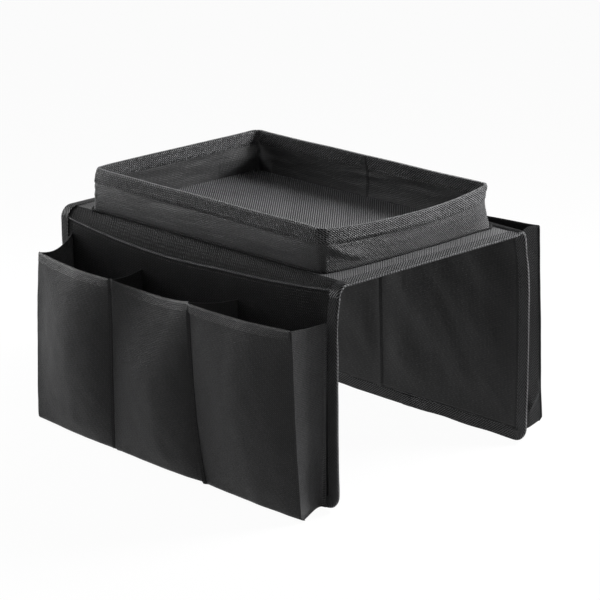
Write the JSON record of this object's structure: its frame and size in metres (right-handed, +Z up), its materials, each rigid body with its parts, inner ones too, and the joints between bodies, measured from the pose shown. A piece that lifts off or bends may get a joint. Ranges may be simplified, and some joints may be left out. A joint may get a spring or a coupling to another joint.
{
  "type": "sofa arm tray",
  "caption": "Soft fabric tray that saddles a sofa arm: a stiffened top with low padded-look walls, and hinged side flaps that carry gusseted storage pockets.",
  "frame": {"origin": "middle of the flat underside of the top, which rests on the sofa arm", "axes": "+X along the sofa arm, +Y from the three-pocket flap to the two-pocket flap, +Z up"},
  "size_m": [0.376, 0.309, 0.2394],
  "materials": {
    "outer_cloth": "black polyester oxford cloth",
    "lining_cloth": "black fine-ribbed polyester lining",
    "binding_tape": "black twill binding tape",
    "board_plastic": "thin stiffening sheet, hidden",
    "board_card": "grey board stiffener, hidden"
  },
  "bodies": {
    "tray_top": {"top_cover": "outer_cloth", "top_board": "board_plastic", "top_lining": "lining_cloth", "end_binding_left": "binding_tape", "end_binding_right": "binding_tape", "front_fold_strip": "outer_cloth", "rear_fold_strip": "outer_cloth", "front_fold_welt": "outer_cloth", "rear_fold_welt": "outer_cloth", "tray_floor": "lining_cloth", "tray_base_welt": "outer_cloth", "front_wall_cover": "outer_cloth", "front_wall_board": "board_plastic", "front_wall_lining": "lining_cloth", "rear_wall_cover": "outer_cloth", "rear_wall_board": "board_plastic", "rear_wall_lining": "lining_cloth", "left_wall_cover": "outer_cloth", "left_wall_board": "board_plastic", "left_wall_lining": "lining_cloth", "right_wall_cover": "outer_cloth", "right_wall_board": "board_plastic", "right_wall_lining": "lining_cloth"},
    "front_flap": {"front_flap_cover": "outer_cloth", "front_flap_board": "board_card", "front_flap_lining": "lining_cloth", "front_flap_binding": "binding_tape", "front_gusset_left": "outer_cloth", "front_gusset_right": "outer_cloth", "front_divider_left": "outer_cloth", "front_divider_right": "outer_cloth", "front_pocket_floor_left": "outer_cloth", "front_pocket_floor_middle": "outer_cloth", "front_pocket_floor_right": "outer_cloth"},
    "front_pockets": {"front_pocket_strip": "outer_cloth"},
    "rear_flap": {"rear_flap_cover": "outer_cloth", "rear_flap_board": "board_card", "rear_flap_lining": "lining_cloth", "rear_flap_binding": "binding_tape", "rear_gusset_left": "outer_cloth", "rear_gusset_right": "outer_cloth", "rear_divider": "outer_cloth", "rear_pocket_floor_left": "outer_cloth", "rear_pocket_floor_right": "outer_cloth"},
    "rear_pockets": {"rear_pocket_strip": "outer_cloth"}
  },
  "joints": [
    {"name": "front_flap_fold", "type": "hinge", "parent": "tray_top", "child": "front_flap", "pos_m": [0, -0.1135, -0.0046], "axis": [-1, 0, 0], "range_deg": [-30, 90]},
    {"name": "front_pockets_flatten", "type": "slide", "parent": "front_flap", "child": "front_pockets", "axis": [0, 1, 0], "range_m": [0, 0.03], "deforming": ["front_gusset_left", "front_gusset_right", "front_divider_left", "front_divider_right", "front_pocket_floor_left", "front_pocket_floor_middle", "front_pocket_floor_right"]},
    {"name": "rear_flap_fold", "type": "hinge", "parent": "tray_top", "child": "rear_flap", "pos_m": [0, 0.1135, -0.0046], "axis": [1, 0, 0], "range_deg": [-30, 90]},
    {"name": "rear_pockets_flatten", "type": "slide", "parent": "rear_flap", "child": "rear_pockets", "axis": [0, -1, 0], "range_m": [0, 0.02], "deforming": ["rear_gusset_left", "rear_gusset_right", "rear_divider", "rear_pocket_floor_left", "rear_pocket_floor_right"]}
  ]
}
